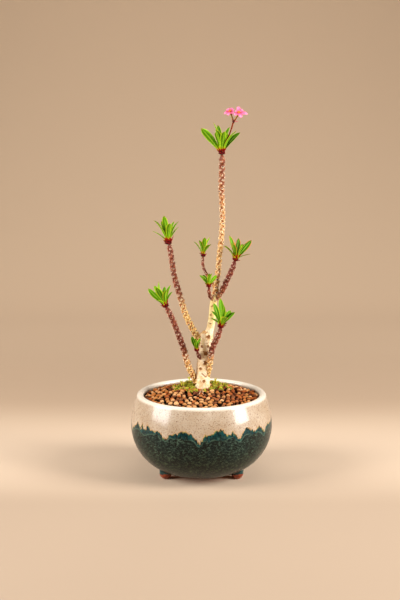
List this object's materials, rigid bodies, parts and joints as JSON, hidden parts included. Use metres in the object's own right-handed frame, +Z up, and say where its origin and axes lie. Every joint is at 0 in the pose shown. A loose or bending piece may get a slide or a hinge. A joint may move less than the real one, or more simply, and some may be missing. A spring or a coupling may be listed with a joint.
{
  "type": "potted euphorbia",
  "caption": "Slender young succulent with leaf rosettes at the ends of spiny branches and a forked pink flower stalk, in a round footed bowl with a drip-glazed foot.",
  "frame": {"origin": "on the bowl's axis, at the height of the three feet's flat undersides", "axes": "+Z up the plant, -Y towards its front, +X to the side of the flower stalk"},
  "size_m": [0.12, 0.12, 0.311],
  "materials": {
    "bowl_glaze": "gloss",
    "drain_plastic": "matte",
    "potting_mix": "matte",
    "fired_clay": "matte",
    "bark": "matte",
    "leaf": "satin",
    "leaf_foot": "satin",
    "flower_stalk": "satin",
    "petal": "satin",
    "flower_eye": "satin"
  },
  "bodies": {
    "root": {"footed_bowl": "bowl_glaze", "drain_mesh": "drain_plastic", "potting_mix": "potting_mix", "grain_layer": "fired_clay", "stem": "bark", "leaf_foot_top": "leaf_foot", "leaves_top": "leaf", "leaf_foot_long_left": "leaf_foot", "leaves_long_left": "leaf", "leaf_foot_low_left": "leaf_foot", "leaves_low_left": "leaf", "leaf_foot_low_right": "leaf_foot", "leaves_low_right": "leaf", "leaf_foot_upper_right": "leaf_foot", "leaves_upper_right": "leaf", "leaf_foot_upper_back": "leaf_foot", "leaves_upper_back": "leaf", "leaf_foot_upper_front": "leaf_foot", "leaves_upper_front": "leaf", "leaf_foot_trunk_shoot": "leaf_foot", "leaves_trunk_shoot": "leaf", "flower_stalk": "flower_stalk", "stalk_bract": "petal", "bloom_left_petals": "petal", "bloom_left_eye": "flower_eye", "bloom_right_petals": "petal", "bloom_right_eye": "flower_eye"}
  },
  "joints": []
}
